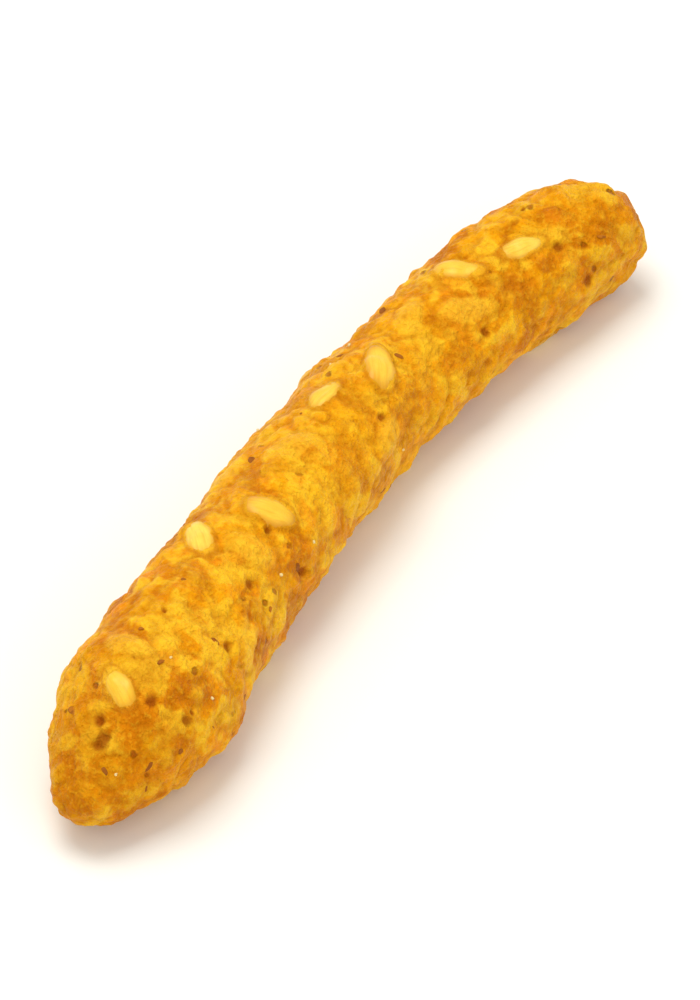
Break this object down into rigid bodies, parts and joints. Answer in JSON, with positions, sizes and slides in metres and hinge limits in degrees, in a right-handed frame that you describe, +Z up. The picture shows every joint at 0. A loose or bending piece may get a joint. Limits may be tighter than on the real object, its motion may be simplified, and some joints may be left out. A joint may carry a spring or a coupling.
{
  "type": "sesame stick",
  "caption": "Slender fried wheat-dough finger, slightly bowed, with a tapered nose, a blunt heel and hulled sesame seeds sunk into its granular skin.",
  "frame": {"origin": "middle of the base of the stick's box, on the surface that it lies on", "axes": "+X along the stick from its tapered nose to its blunt heel, +Y to the side that it bows towards, +Z up from the surface that it lies on"},
  "size_m": [0.046, 0.0096, 0.0073],
  "materials": {
    "fried_dough": "satin, golden ochre and mottled, with an oily sheen",
    "sesame_seed": "smooth, satin, pale cream yellow",
    "salt_crystal": "clear white grains",
    "bran_fleck": "matte brown"
  },
  "bodies": {
    "root": {"sesame_stick": "fried_dough"}
  },
  "joints": []
}
